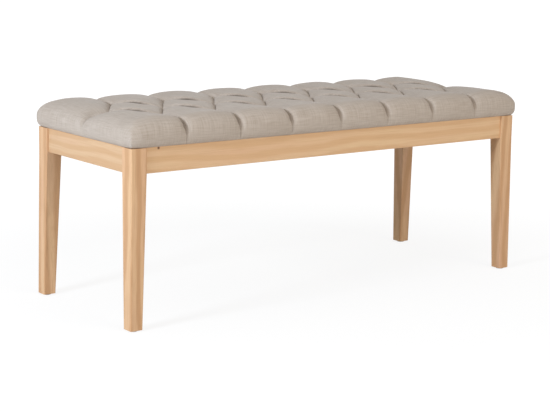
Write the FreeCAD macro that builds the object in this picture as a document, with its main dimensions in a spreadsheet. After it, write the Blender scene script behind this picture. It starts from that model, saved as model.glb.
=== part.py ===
import FreeCAD, Part
import math
import os
import re

import Sketcher

# Upholstered bench: a wooden frame of four tapered legs and four aprons, and a long padded
# seat, diamond tufted without buttons, that rests on top of the frame.
# Millimetres, +Z up, X along the bench, front towards -Y, origin on the floor under the centre.

os.makedirs("parts", exist_ok=True)
doc = FreeCAD.newDocument("UpholsteredBench")
sizes = doc.addObject("Spreadsheet::Sheet", "Sizes")

DRIVING_SIZES = {
    # frame, over the outer faces of the legs
    "frame_length": 1165,
    "frame_depth": 420,
    "frame_top": 410,
    # legs, square at the aprons and tapered on their two inner faces below them
    "leg_width": 40,
    "foot_width": 31,
    "foot_splay": 4,
    "leg_edge_radius": 2.2,
    # aprons, set back from the faces of the legs
    "apron_height": 58,
    "apron_thickness": 20,
    "apron_setback": 5,
    "apron_edge_radius": 1.5,
    # dowels, two in each joint of apron and leg
    "dowel_diameter": 10,
    "dowel_length": 36,
    "dowel_spacing": 30,
    "bore_clearance": 0.3,
    "tip_clearance": 1,
    # how far a cut starts outside the face that it goes into
    "overrun": 5,
    # cross rail, housed in the front and rear aprons
    "rail_width": 30,
    "rail_height": 45,
    "housing_depth": 6,
    "housing_clearance": 0.2,
    # corner blocks, set across the corners behind the legs
    "block_height": 40,
    "block_near": 45,
    "block_far": 80,
    # hanger bolt from each block into its leg
    "bolt_diameter": 8,
    "bolt_grip": 32,
    "bolt_length": 80,
    "washer_diameter": 22,
    "washer_thickness": 2,
    "nut_width": 13,
    "nut_height": 6.5,
    # wood screws
    "screw_diameter": 4,
    "screw_head_diameter": 8,
    "screw_head_height": 2.6,
    "block_screw_length": 30,
    "block_screw_bite": 14,
    "block_screw_place": 58,
    "block_screw_spacing": 20,
    "seat_screw_reach": 12,
    "seat_screw_along": 46,
    "seat_screw_across": 16,
    "rail_screw_spacing": 240,
    # foot glides
    "glide_diameter": 20,
    "glide_thickness": 3,
    "glide_edge_radius": 0.8,
    "nail_diameter": 2,
    "nail_length": 14.5,
    "nail_recess": 0.5,
    "nail_head_diameter": 5,
    "nail_head_height": 0.8,
    # seat: dust cover, hem, board, foam, wadding and cover, from below
    "dust_cover_thickness": 0.5,
    "dust_cover_margin": 20,
    "hem_thickness": 1.5,
    "hem_width": 30,
    "board_thickness": 15,
    "board_inset": 4,
    "cover_thickness": 1.6,
    "wadding_thickness": 5,
    "cushion_inset": 1,
    "cushion_bulge": 8,
    # tufts: rows of seven, eight and seven, half a pitch apart
    "tuft_pitch": 147,
    "tuft_row_place": 112,
    "tuft_height": 54,
    "crest_height": 67,
    "pleat_draw": 5,
    "tie_diameter": 2,
    "tie_bore": 6,
    "tie_clearance": 0.4,
    "anchor_diameter": 14,
    # staples that hold the turned-under edge of the cover
    "staple_crown": 10,
    "staple_wire": 0.5,
    "staple_width": 1.2,
    "staple_leg": 8,
    "staple_spacing": 78,
    "staple_margin": 14,
}
for row, (name, number) in enumerate(DRIVING_SIZES.items(), start=1):
    sizes.set("A%d" % row, name)
    sizes.set("B%d" % row, str(number))
    sizes.setAlias("B%d" % row, name)
doc.recompute()
CELLS = {name: "Sizes." + name for name in DRIVING_SIZES}

nodes = []


def size(name):
    """The number in the cell with this alias."""
    return float(getattr(sizes, name))


def expression(text):
    """Write a formula on bare aliases as one on the cells of the sheet."""
    return re.sub(r"[a-z_]+", lambda word: CELLS.get(word[0], word[0]), text)


def bind(thing, **formulas):
    """Bind properties to formulas; two underscores in a name stand for a dot."""
    for name, text in formulas.items():
        thing.setExpression(name.replace("__", "."), expression(text))


def place(thing, x="0", y="0", z="0", turn=None):
    """Put a thing at x, y, z, given as formulas, turned by a rotation."""
    if turn is not None:
        thing.Placement = FreeCAD.Placement(FreeCAD.Vector(), turn)
    bind(thing, Placement__Base__x=x, Placement__Base__y=y, Placement__Base__z=z)


def node(thing, label):
    """Name a finished sub-part, which is written to its own file."""
    thing.Label = label
    nodes.append(thing)
    return thing


def turned(angle, axis=(0, 0, 1)):
    return FreeCAD.Rotation(FreeCAD.Vector(*axis), angle)


def along(direction):
    """The rotation that turns +Z into a direction."""
    return FreeCAD.Rotation(FreeCAD.Vector(0, 0, 1), FreeCAD.Vector(*direction))


def rectangle(body, name, width, depth, x="0", y="0", z="0"):
    """A rectangle of width by depth about x, y, on the body's XY plane lifted to z."""
    sketch = body.newObject("Sketcher::SketchObject", name)
    plane = next(f for f in body.Origin.OriginFeatures if f.Role == "XY_Plane")
    sketch.AttachmentSupport = (plane, [""])
    sketch.MapMode = "FlatFace"
    bind(sketch, AttachmentOffset__Base__x=x)
    bind(sketch, AttachmentOffset__Base__y=y)
    bind(sketch, AttachmentOffset__Base__z=z)
    corners = [FreeCAD.Vector(*c) for c in ((-9, -9, 0), (9, -9, 0), (9, 9, 0), (-9, 9, 0))]
    for start in range(4):
        sketch.addGeometry(Part.LineSegment(corners[start], corners[(start + 1) % 4]), False)
    for start in range(4):
        sketch.addConstraint(Sketcher.Constraint("Coincident", start, 2, (start + 1) % 4, 1))
        direction = "Horizontal" if start % 2 == 0 else "Vertical"
        sketch.addConstraint(Sketcher.Constraint(direction, start))
    sketch.addConstraint(Sketcher.Constraint("Symmetric", 0, 1, 1, 2, -1, 1))
    across = sketch.addConstraint(Sketcher.Constraint("Distance", 0, 18))
    sketch.renameConstraint(across, "width")
    upright = sketch.addConstraint(Sketcher.Constraint("Distance", 1, 18))
    sketch.renameConstraint(upright, "depth")
    bind(sketch, Constraints__width=width, Constraints__depth=depth)
    return sketch


def padded(body, sketch, height):
    pad = body.newObject("PartDesign::Pad", "Pad")
    pad.Profile = sketch
    bind(pad, Length=height)
    return pad


def eased(body, feature, radius, chosen):
    """Round the edges of the feature that the test chooses."""
    doc.recompute()
    edges = enumerate(feature.Shape.Edges, start=1)
    names = ["Edge%d" % number for number, edge in edges if chosen(edge)]
    fillet = body.newObject("PartDesign::Fillet", "EasedEdges")
    fillet.Base = (feature, names)
    bind(fillet, Radius=radius)
    return fillet


def rod(name, diameter, length, x="0", y="0", z="0", direction=(0, 0, 1)):
    """A round bar that starts at x, y, z and runs in a direction."""
    cylinder = doc.addObject("Part::Cylinder", name)
    bind(cylinder, Radius="(%s) / 2" % diameter, Height=length)
    place(cylinder, x, y, z, along(direction))
    return cylinder


def block(name, length, width, height, x="0", y="0", z="0"):
    """A box of these sides about x, y, that stands on z."""
    box = doc.addObject("Part::Box", name)
    bind(box, Length=length, Width=width, Height=height)
    place(box, "%s - (%s) / 2" % (x, length), "%s - (%s) / 2" % (y, width), z)
    return box


def group(name, things):
    compound = doc.addObject("Part::Compound", name)
    compound.Links = things
    return compound


def cut(name, base, tools):
    """The base without the tools, in the base's own frame."""
    result = doc.addObject("Part::Cut", name)
    result.Base = base
    result.Tool = group(name + "Bores", tools) if len(tools) > 1 else tools[0]
    return result


def straight_and_upright(edge):
    """Edges that run the height of a leg."""
    ends = [vertex.Point for vertex in edge.Vertexes]
    return len(ends) == 2 and abs(ends[0].z - ends[1].z) > size("apron_height") / 2


MID_APRON = "(frame_top - apron_height / 2)"
# Each corner: its name, the side along X and along Y, and the turn of its leg and block.
CORNERS = [
    ("front_left", -1, -1, 0),
    ("front_right", 1, -1, 90),
    ("rear_right", 1, 1, 180),
    ("rear_left", -1, 1, 270),
]

# Legs. In the leg's own frame its outer corner is at the origin and it reaches towards +X and +Y.
DOWEL_HEIGHTS = [MID_APRON + " - dowel_spacing / 2", MID_APRON + " + dowel_spacing / 2"]
DOWEL_LINE = "(apron_setback + apron_thickness / 2)"
FOOT_CENTRE = "(foot_width / 2 - foot_splay)"
for corner, side_x, side_y, angle in CORNERS:
    body = doc.addObject("PartDesign::Body", "LegBody")
    half = "leg_width / 2"
    shoulder = "frame_top - apron_height"
    top = rectangle(body, "Top", "leg_width", "leg_width", half, half, shoulder)
    padded(body, top, "apron_height")
    start = rectangle(body, "Shoulder", "leg_width", "leg_width", half, half, shoulder)
    foot = rectangle(
        body, "Foot", "foot_width", "foot_width", FOOT_CENTRE, FOOT_CENTRE, "glide_thickness"
    )
    taper = body.newObject("PartDesign::AdditiveLoft", "Taper")
    taper.Profile = start
    taper.Sections = [foot]
    taper.Ruled = True
    eased(body, taper, "leg_edge_radius", straight_and_upright)
    bores = []
    reach = "dowel_length / 2 + bore_clearance + overrun"
    bore = "dowel_diameter + bore_clearance"
    for height in DOWEL_HEIGHTS:
        bores.append(rod("DowelBore", bore, reach, "leg_width + overrun", DOWEL_LINE, height,
                         (-1, 0, 0)))
        bores.append(rod("DowelBore", bore, reach, DOWEL_LINE, "leg_width + overrun", height,
                         (0, -1, 0)))
    bores.append(
        rod("BoltBore", "bolt_diameter + bore_clearance", "bolt_grip + bore_clearance + overrun",
            "leg_width + overrun * cos(45)", "leg_width + overrun * cos(45)", MID_APRON,
            (-1, -1, 0))
    )
    bores.append(
        rod("NailBore", "nail_diameter + bore_clearance",
            "nail_recess + nail_length + tip_clearance", FOOT_CENTRE, FOOT_CENTRE, "0")
    )
    leg = node(cut("Leg", body, bores), corner + "_leg")
    place(leg, "%d * frame_length / 2" % side_x, "%d * frame_depth / 2" % side_y, "0", turned(angle))

# Foot glides, one plastic disc nailed under each leg, and their nails.
nails = []
for corner, side_x, side_y, angle in CORNERS:
    x = "%d * (frame_length / 2 - %s)" % (side_x, FOOT_CENTRE)
    y = "%d * (frame_depth / 2 - %s)" % (side_y, FOOT_CENTRE)
    disc = rod("GlideDisc", "glide_diameter", "glide_thickness")
    doc.recompute()
    rounded = doc.addObject("Part::Fillet", "GlideRounded")
    rounded.Base = disc
    rim = [number for number, edge in enumerate(disc.Shape.Edges, start=1)
           if edge.Closed and edge.BoundBox.ZMax < size("glide_thickness") / 2]
    rounded.Edges = [(number, size("glide_edge_radius"), size("glide_edge_radius")) for number in rim]
    head_space = rod("NailHeadSpace", "nail_head_diameter + bore_clearance",
                     "nail_head_height + nail_recess")
    shank_space = rod("NailShankSpace", "nail_diameter + bore_clearance",
                      "glide_thickness + overrun")
    glide = node(cut("Glide", rounded, [head_space, shank_space]), corner + "_foot_glide")
    place(glide, x, y, "0")
    shank = rod("NailShank", "nail_diameter", "nail_length", x, y, "nail_recess")
    head = rod("NailHead", "nail_head_diameter", "nail_head_height", x, y, "nail_recess")
    nail = doc.addObject("Part::Fuse", "Nail")
    nail.Base = shank
    nail.Tool = head
    nails.append(nail)
node(group("Nails", nails), "glide_nails")

# Aprons. In its own frame an apron runs along X about the origin, outer face towards -Y.
INNER_X = "(frame_length / 2 - apron_setback - apron_thickness)"
INNER_Y = "(frame_depth / 2 - apron_setback - apron_thickness)"
BLOCK_SCREW_HEIGHTS = ["apron_height / 2 - block_screw_spacing / 2",
                       "apron_height / 2 + block_screw_spacing / 2"]
APRONS = [
    ("front_apron", "(frame_length - 2 * leg_width)", INNER_X, 0, "0", "-1", True),
    ("rear_apron", "(frame_length - 2 * leg_width)", INNER_X, 180, "0", "1", True),
    ("left_end_apron", "(frame_depth - 2 * leg_width)", INNER_Y, 270, "-1", "0", False),
    ("right_end_apron", "(frame_depth - 2 * leg_width)", INNER_Y, 90, "1", "0", False),
]


def long_lower_edge(edge):
    """The two long edges of an apron at its lower side."""
    box = edge.BoundBox
    return box.XLength > size("apron_height") and box.ZMax < size("apron_thickness") / 2


for label, length, corner_line, angle, side_x, side_y, housed in APRONS:
    body = doc.addObject("PartDesign::Body", "ApronBody")
    outline = rectangle(body, "Outline", length, "apron_thickness")
    pad = padded(body, outline, "apron_height")
    eased(body, pad, "apron_edge_radius", long_lower_edge)
    bores = []
    for end in (-1, 1):
        for lift in ("-", "+"):
            height = "apron_height / 2 %s dowel_spacing / 2" % lift
            bores.append(
                rod("DowelBore", "dowel_diameter + bore_clearance",
                    "dowel_length / 2 + bore_clearance + overrun",
                    "%d * (%s / 2 + overrun)" % (end, length), "0", height, (-end, 0, 0))
            )
        for height in BLOCK_SCREW_HEIGHTS:
            bores.append(
                rod("ScrewBore", "screw_diameter + bore_clearance", "block_screw_bite + overrun",
                    "%d * (%s - block_screw_place)" % (end, corner_line),
                    "apron_thickness / 2 + overrun", height, (0, -1, 0))
            )
    if housed:
        bores.append(
            block("Housing", "rail_width + bore_clearance", "2 * housing_depth",
                  "rail_height + overrun",
                  "0", "apron_thickness / 2", "apron_height - rail_height")
        )
    apron = node(cut("Apron", body, bores), label)
    place(
        apron,
        "%s * (frame_length / 2 - %s)" % (side_x, DOWEL_LINE),
        "%s * (frame_depth / 2 - %s)" % (side_y, DOWEL_LINE),
        "frame_top - apron_height",
        turned(angle),
    )

# Dowels, half in the apron and half in the leg.
dowels = []
for corner, side_x, side_y, angle in CORNERS:
    for height in DOWEL_HEIGHTS:
        dowels.append(
            rod("Dowel", "dowel_diameter", "dowel_length",
                "%d * (frame_length / 2 - leg_width - dowel_length / 2)" % side_x,
                "%d * (frame_depth / 2 - %s)" % (side_y, DOWEL_LINE), height, (side_x, 0, 0))
        )
        dowels.append(
            rod("Dowel", "dowel_diameter", "dowel_length",
                "%d * (frame_length / 2 - %s)" % (side_x, DOWEL_LINE),
                "%d * (frame_depth / 2 - leg_width - dowel_length / 2)" % side_y, height,
                (0, side_y, 0))
        )
node(group("Dowels", dowels), "apron_dowels")

# Cross rail between the long aprons, bored for two of the screws that hold the seat.
body = doc.addObject("PartDesign::Body", "RailBody")
outline = rectangle(body, "Outline", "rail_width",
                    "2 * (%s + housing_depth - housing_clearance)" % INNER_Y)
padded(body, outline, "rail_height")
rail_bores = []
for side in (-1, 1):
    y = "%d * rail_screw_spacing / 2" % side
    rail_bores.append(rod("ScrewBore", "screw_diameter + bore_clearance", "rail_height", "0", y))
    rail_bores.append(
        rod("HeadBore", "screw_head_diameter + bore_clearance",
            "screw_head_height + bore_clearance", "0", y)
    )
rail = node(cut("Rail", body, rail_bores), "centre_cross_rail")
place(rail, "0", "0", "frame_top - rail_height")

# Corner blocks. In its own frame a block lies across the corner at the origin, which is where
# the inner faces of two aprons would meet, and reaches block_far along both.
BLOCK_BASE = "(%s - block_height / 2)" % MID_APRON
for corner, side_x, side_y, angle in CORNERS:
    body = doc.addObject("PartDesign::Body", "BlockBody")
    sketch = body.newObject("Sketcher::SketchObject", "Outline")
    plane = next(f for f in body.Origin.OriginFeatures if f.Role == "XY_Plane")
    sketch.AttachmentSupport = (plane, [""])
    sketch.MapMode = "FlatFace"
    near, far = size("block_near"), size("block_far")
    outline = [(near, 0), (far, 0), (0, far), (0, near)]
    for start in range(4):
        ends = [FreeCAD.Vector(*outline[(start + step) % 4], 0) for step in (0, 1)]
        sketch.addGeometry(Part.LineSegment(*ends), False)
    for start in range(4):
        sketch.addConstraint(Sketcher.Constraint("Coincident", start, 2, (start + 1) % 4, 1))
    sketch.addConstraint(Sketcher.Constraint("PointOnObject", 0, 1, -1))
    sketch.addConstraint(Sketcher.Constraint("PointOnObject", 0, 2, -1))
    sketch.addConstraint(Sketcher.Constraint("PointOnObject", 2, 1, -2))
    sketch.addConstraint(Sketcher.Constraint("PointOnObject", 2, 2, -2))
    places = [("DistanceX", 0, 1, "block_near"), ("DistanceX", 0, 2, "block_far"),
              ("DistanceY", 2, 1, "block_far"), ("DistanceY", 2, 2, "block_near")]
    for number, (kind, line, end, alias) in enumerate(places):
        index = sketch.addConstraint(Sketcher.Constraint(kind, -1, 1, line, end, size(alias)))
        sketch.renameConstraint(index, "reach%d" % number)
        sketch.setExpression("Constraints.reach%d" % number, expression(alias))
    padded(body, sketch, "block_height")
    bores = [rod("BoltBore", "bolt_diameter + bore_clearance", "block_far", "0", "0",
                 "block_height / 2", (1, 1, 0))]
    for lift in ("-", "+"):
        height = "block_height / 2 %s block_screw_spacing / 2" % lift
        head_place = "block_screw_length - block_screw_bite"
        for along_x in (True, False):
            spots = [("ScrewBore", "screw_diameter", "block_far", "-overrun"),
                     ("HeadBore", "screw_head_diameter", "block_far", head_place)]
            for name, diameter, length, first in spots:
                x, y = ("block_screw_place", first) if along_x else (first, "block_screw_place")
                direction = (0, 1, 0) if along_x else (1, 0, 0)
                bores.append(
                    rod(name, diameter + " + bore_clearance", length, x, y, height, direction)
                )
    bores.append(
        rod("SeatScrewBore", "screw_diameter + bore_clearance", "block_height",
            "seat_screw_along", "seat_screw_across", "0")
    )
    bores.append(
        rod("SeatHeadBore", "screw_head_diameter + bore_clearance",
            "screw_head_height + bore_clearance", "seat_screw_along", "seat_screw_across", "0")
    )
    corner_block = node(cut("CornerBlock", body, bores), corner + "_corner_block")
    place(corner_block, "%d * %s" % (side_x, INNER_X), "%d * %s" % (side_y, INNER_Y), BLOCK_BASE,
          turned(angle))

# Hanger bolts, washers and nuts, on the diagonal of each corner.
bolts, washers, nuts = [], [], []
for corner, side_x, side_y, angle in CORNERS:
    inward = (-side_x, -side_y, 0)

    def on_diagonal(past_leg):
        """Formulas for the point this far past the inner corner of the leg."""
        step = "(leg_width + (%s) * cos(45))" % past_leg
        return ("%d * (frame_length / 2 - %s)" % (side_x, step),
                "%d * (frame_depth / 2 - %s)" % (side_y, step))

    x, y = on_diagonal("-bolt_grip")
    bolts.append(rod("Bolt", "bolt_diameter", "bolt_length", x, y, MID_APRON, inward))
    seat = "(block_far - 2 * (leg_width - apron_setback - apron_thickness)) * cos(45)"
    x, y = on_diagonal(seat)
    washer = rod("WasherDisc", "washer_diameter", "washer_thickness", x, y, MID_APRON, inward)
    hole = rod("WasherHole", "bolt_diameter + bore_clearance", "washer_thickness", x, y,
               MID_APRON, inward)
    washers.append(cut("Washer", washer, [hole]))
    x, y = on_diagonal(seat + " + washer_thickness")
    prism = doc.addObject("Part::Prism", "NutPrism")
    prism.Polygon = 6
    bind(prism, Circumradius="nut_width / 2 / cos(30)", Height="nut_height")
    place(prism, x, y, MID_APRON, along(inward))
    thread = rod("NutHole", "bolt_diameter + bore_clearance", "nut_height", x, y, MID_APRON, inward)
    nuts.append(cut("Nut", prism, [thread]))
node(group("Bolts", bolts), "leg_hanger_bolts")
node(group("Washers", washers), "leg_bolt_washers")
node(group("Nuts", nuts), "leg_bolt_nuts")


def wood_screw(length, x, y, z, direction):
    """A screw with a flat round head, whose head starts at x, y, z and that runs in a direction."""
    shank = rod("ScrewShank", "screw_diameter", length, x, y, z, direction)
    head = rod("ScrewHead", "screw_head_diameter", "screw_head_height", x, y, z, direction)
    screw = doc.addObject("Part::Fuse", "Screw")
    screw.Base = shank
    screw.Tool = head
    return screw


# Screws from each corner block into its two aprons.
block_screws = []
head_past_face = "(block_screw_length - block_screw_bite + screw_head_height)"
for corner, side_x, side_y, angle in CORNERS:
    for lift in ("-", "+"):
        height = MID_APRON + " %s block_screw_spacing / 2" % lift
        block_screws.append(
            wood_screw("block_screw_length + screw_head_height",
                       "%d * (%s - block_screw_place)" % (side_x, INNER_X),
                       "%d * (%s - %s)" % (side_y, INNER_Y, head_past_face), height,
                       (0, side_y, 0))
        )
        block_screws.append(
            wood_screw("block_screw_length + screw_head_height",
                       "%d * (%s - %s)" % (side_x, INNER_X, head_past_face),
                       "%d * (%s - block_screw_place)" % (side_y, INNER_Y), height,
                       (side_x, 0, 0))
        )
node(group("BlockScrews", block_screws), "corner_block_screws")

# Screws that hold the seat from below, one in each corner block and two in the cross rail.
BLOCK_TURNS = {0: ("along", "across"), 90: ("across", "along"),
               180: ("along", "across"), 270: ("across", "along")}
seat_screw_places = []
for corner, side_x, side_y, angle in CORNERS:
    first, second = BLOCK_TURNS[angle]
    seat_screw_places.append((
        "%d * (%s - seat_screw_%s)" % (side_x, INNER_X, first),
        "%d * (%s - seat_screw_%s)" % (side_y, INNER_Y, second),
        BLOCK_BASE, "frame_top + seat_screw_reach - %s" % BLOCK_BASE,
    ))
for side in (-1, 1):
    seat_screw_places.append((
        "0", "%d * rail_screw_spacing / 2" % side,
        "frame_top - rail_height", "rail_height + seat_screw_reach",
    ))
seat_screws = [wood_screw(length, x, y, z, (0, 0, 1)) for x, y, z, length in seat_screw_places]
node(group("SeatScrews", seat_screws), "seat_screws")

# Dust cover, a thin cloth under the seat, clamped on the aprons and pierced by the seat screws.
HEM_BASE = "(frame_top + dust_cover_thickness)"
BOARD_BASE = "(frame_top + dust_cover_thickness + hem_thickness)"
cloth = block("DustCloth", "frame_length - 2 * dust_cover_margin",
              "frame_depth - 2 * dust_cover_margin", "dust_cover_thickness", z="frame_top")
piercings = [
    rod("Piercing", "screw_diameter + bore_clearance", "2 * overrun", x, y, "frame_top - overrun")
    for x, y, z, length in seat_screw_places
]
node(cut("DustCover", cloth, piercings), "dust_cover")

# Tuft places: three rows, the middle one half a pitch out of step with the others.
TUFTS = [(column, side) for side in (-1, 1) for column in range(-3, 4)]
TUFTS += [(column + 0.5, 0) for column in range(-4, 4)]
TUFT_PLACES = [("%s * tuft_pitch" % column, "%d * tuft_row_place" % side) for column, side in TUFTS]

# Staples around the turned-under edge of the cover, and the slots of their legs.
staple_line_x = "(frame_length / 2 - staple_margin)"
staple_line_y = "(frame_depth / 2 - staple_margin)"
half_count_x = int(size("frame_length") / 2 / size("staple_spacing"))
half_count_y = int(size("frame_depth") / 2 / size("staple_spacing") - 0.5)
staple_places = []
for side in (-1, 1):
    for step in range(-half_count_x, half_count_x + 1):
        staple_places.append(("%d * staple_spacing" % step, "%d * %s" % (side, staple_line_y), True))
    for step in range(-half_count_y, half_count_y + 1):
        staple_places.append(("%d * %s" % (side, staple_line_x), "%d * staple_spacing" % step, False))
staples, slots = [], []
for x, y, lengthwise in staple_places:
    sides = ("staple_crown", "staple_width") if lengthwise else ("staple_width", "staple_crown")
    crown = block("Crown", *sides, "staple_wire", x, y, "frame_top")
    legs = []
    for end in (-1, 1):
        offset = " + %d * (staple_crown - staple_wire) / 2" % end
        leg_x, leg_y = (x + offset, y) if lengthwise else (x, y + offset)
        thick = ("staple_wire", "staple_width") if lengthwise else ("staple_width", "staple_wire")
        legs.append(block("StapleLeg", *thick, "staple_leg", leg_x, leg_y, "frame_top"))
        wide = ["%s + bore_clearance" % side_size for side_size in thick]
        slots.append(block("Slot", *wide, "staple_leg + bore_clearance", leg_x, leg_y, "frame_top"))
    staple = doc.addObject("Part::MultiFuse", "Staple")
    staple.Shapes = [crown] + legs
    staples.append(staple)
node(group("Staples", staples), "cover_staples")

# Seat board of plywood, bored for the tuft ties and the seat screws.
body = doc.addObject("PartDesign::Body", "BoardBody")
outline = rectangle(body, "Outline", "frame_length - 2 * board_inset",
                    "frame_depth - 2 * board_inset", z=BOARD_BASE)
padded(body, outline, "board_thickness")
tie_bores = [
    rod("TieBore", "tie_bore", "crest_height + 3 * overrun", x, y, "frame_top - overrun")
    for x, y in TUFT_PLACES
]
screw_bores = [
    rod("ScrewBore", "screw_diameter + bore_clearance", "seat_screw_reach + overrun",
        x, y, "frame_top - overrun")
    for x, y, z, length in seat_screw_places
]
node(cut("Board", body, tie_bores + screw_bores + slots), "seat_board")


# Upholstery. The tufted form is one formula for every layer, drawn in by the layers outside it:
# valleys run between the tufts in diamonds, and pleats run from the outer rows down both sides.
TUFT_HALF_WIDTH = 5.0
VALLEY_RISE = 4.0
SHOULDER_HEIGHT = 36.0
SHOULDER_DRAW = 2.0
BROW_DROP = 3.0
RIM_SETBACK = 24.0
RIM_RISE = 6.5
RIM_DIP = 7.0
FLATTEST_RISE = 0.8
END_ROUND = 30.0
BULGE_ROUND = 9.0
UNDERCUT_SHARE = 0.22
END_FALL_SHARE = 0.58
CORNER_ROUND = 11.0


def cushion_section(x, inset, base):
    """The closed outline of the form across the bench at x, as a line and seven arcs."""
    side = size("frame_depth") / 2 - inset
    end = size("frame_length") / 2 + size("cushion_bulge") - inset
    top = size("frame_top")
    tuft = top + size("tuft_height") - inset
    crest = size("crest_height") - size("tuft_height")
    # phase is 0 at a column of the outer rows and 1 at a column of the middle row
    phase = abs((x / size("tuft_pitch") + 0.5) % 1.0 - 0.5) * 2
    if abs(x) > 3.5 * size("tuft_pitch"):
        phase = 1.0
    pillow = math.sqrt(phase * (2 - phase))
    diamond = math.sqrt((1 - phase) * (1 + phase))
    valley_y = size("tuft_row_place") * (1 - phase) + TUFT_HALF_WIDTH * phase
    valley_z = tuft + VALLEY_RISE * math.sin(math.pi * phase)
    # towards the very end the top falls away, the underside lifts and the sides draw in
    top_share = max(0.0, 1 - (end - abs(x)) / END_ROUND)
    fall = 1 - math.sqrt(1 - min(top_share, 0.99) ** 2)
    belly_share = max(0.0, 1 - (end - abs(x)) / BULGE_ROUND)
    tuck = 1 - math.sqrt(1 - min(belly_share, 0.99) ** 2)
    depth = tuft - base
    lowest = base + UNDERCUT_SHARE * depth * tuck
    highest = tuft - END_FALL_SHARE * depth * fall
    scale = (highest - lowest) / depth
    side -= CORNER_ROUND * tuck

    def level(z):
        return lowest + (z - base) * scale

    drawn = size("pleat_draw") * (1 - pillow)
    out = side + size("cushion_bulge") - drawn
    shoulder = top + SHOULDER_HEIGHT
    rim = (side - RIM_SETBACK, level(tuft + RIM_RISE - RIM_DIP * (1 - pillow)))
    rise = (1 - fall) * max(FLATTEST_RISE, (crest - SHOULDER_DRAW) * pillow)
    valley = (valley_y, level(valley_z))
    half = [
        (side - size("cushion_inset"), level(base)),
        (out, level((base + shoulder) / 2)),
        (out - SHOULDER_DRAW, level(shoulder)),
        (side - BROW_DROP - drawn / 2, level(tuft - BROW_DROP - drawn)),
        rim,
        ((rim[0] + valley_y) / 2, (rim[1] + valley[1]) / 2 + rise),
        valley,
    ]
    front = [FreeCAD.Vector(x, -y, z) for y, z in half]
    rear = [FreeCAD.Vector(x, y, z) for y, z in half]
    peak = FreeCAD.Vector(x, 0, valley[1] + (1 - fall) * max(FLATTEST_RISE, crest * diamond))
    arcs = [
        (front[0], front[1], front[2]),
        (front[2], front[3], front[4]),
        (front[4], front[5], front[6]),
        (front[6], peak, rear[6]),
        (rear[6], rear[5], rear[4]),
        (rear[4], rear[3], rear[2]),
        (rear[2], rear[1], rear[0]),
    ]
    edges = [Part.Arc(*points).toShape() for points in arcs]
    edges.append(Part.LineSegment(rear[0], front[0]).toShape())
    return Part.Wire(edges)


# Stations across half a pitch, close together at the pleats, where the pillows rise steeply, and
# their gaps to the end, close together where it rounds off.
PHASES = [0.0, 0.1, 0.28, 0.5, 0.72, 0.9]
END_GAPS = [END_ROUND, 20.0, 12.0, BULGE_ROUND, 6.0, 3.5, 1.6, 0.5, 0.0]


def stations(inset):
    """The places along the bench where the form has a section, from one end to the other."""
    half_pitch = size("tuft_pitch") / 2
    places = [half_pitch * (step + phase if step % 2 == 0 else step + 1 - phase)
              for step in range(7) for phase in PHASES]
    places += [half_pitch * step for step in range(8)]
    places = sorted(set(round(place, 3) for place in places))
    end = size("frame_length") / 2 + size("cushion_bulge") - inset
    places += [end - gap for gap in END_GAPS]
    return [-place for place in reversed(places[1:])] + places


PLEAT_MOUTH = 6.0
PLEAT_FOOT = 3.0
HEM_Z = size("frame_top") + size("dust_cover_thickness")
BOARD_Z = HEM_Z + size("hem_thickness")
FOAM_Z = BOARD_Z + size("board_thickness")


def end_pleats(inset):
    """Grooves for the pleat that runs down the middle of each end of the seat."""
    grooves = []
    for side in (-1, 1):
        face = side * (size("frame_length") / 2 + size("cushion_bulge") - inset)
        root = face - side * size("pleat_draw")
        mouth = face + side * PLEAT_MOUTH / 3
        corners = [(root, 0), (mouth, -PLEAT_MOUTH), (mouth, PLEAT_MOUTH)]
        points = [FreeCAD.Vector(x, y, HEM_Z + PLEAT_FOOT) for x, y in corners]
        wedge = Part.Face(Part.makePolygon(points + points[:1]))
        grooves.append(wedge.extrude(FreeCAD.Vector(0, 0, size("tuft_height"))))
    return grooves


def padded_form(inset, base):
    """The tufted form of one layer with the pleats of its ends."""
    sections = [cushion_section(x, inset, base) for x in stations(inset)]
    return Part.makeLoft(sections, True, True).cut(end_pleats(inset))


def layer(name, outer, hollows):
    """A layer of the seat: its outer form without what it goes round."""
    feature = doc.addObject("Part::Feature", name)
    feature.Shape = outer.cut(hollows)
    return feature


doc.recompute()
tie_holes = [bore.Shape for bore in tie_bores]
slot_shapes = [slot.Shape for slot in slots]

# Cover, one cloth over the top and sides whose edge turns under the board.
under_cover = size("cover_thickness")
opening_x = size("frame_length") / 2 - size("hem_width")
opening_y = size("frame_depth") / 2 - size("hem_width")
opening = Part.makeBox(2 * opening_x, 2 * opening_y, 3 * size("hem_thickness"),
                       FreeCAD.Vector(-opening_x, -opening_y, HEM_Z - size("hem_thickness")))
cover = layer("Cover", padded_form(0, HEM_Z),
              [padded_form(under_cover, BOARD_Z), opening] + slot_shapes)
node(cover, "seat_cover")

# Wadding, a soft layer over the top and sides of the foam, under the cover.
under_wadding = under_cover + size("wadding_thickness")
foam_form = padded_form(under_wadding, FOAM_Z)
wadding = layer("Wadding", padded_form(under_cover, FOAM_Z), [foam_form] + tie_holes)
node(wadding, "seat_wadding")

# Foam, glued to the board and holed where the ties pull the cover down.
foam = layer("Foam", foam_form, tie_holes)
node(foam, "seat_foam")

# Tuft ties of twine, each held under the board by a flat anchor.
TIE_TOP = "(frame_top + tuft_height - cover_thickness - tie_clearance)"
ties = [
    rod("Tie", "tie_diameter", TIE_TOP + " - " + HEM_BASE, x, y, HEM_BASE) for x, y in TUFT_PLACES
]
node(group("Ties", ties), "tuft_ties")
anchors = []
for x, y in TUFT_PLACES:
    disc = rod("AnchorDisc", "anchor_diameter", "hem_thickness", x, y, HEM_BASE)
    hole = rod("AnchorHole", "tie_diameter + bore_clearance", "hem_thickness", x, y, HEM_BASE)
    anchors.append(cut("Anchor", disc, [hole]))
node(group("Anchors", anchors), "tuft_anchors")

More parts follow.
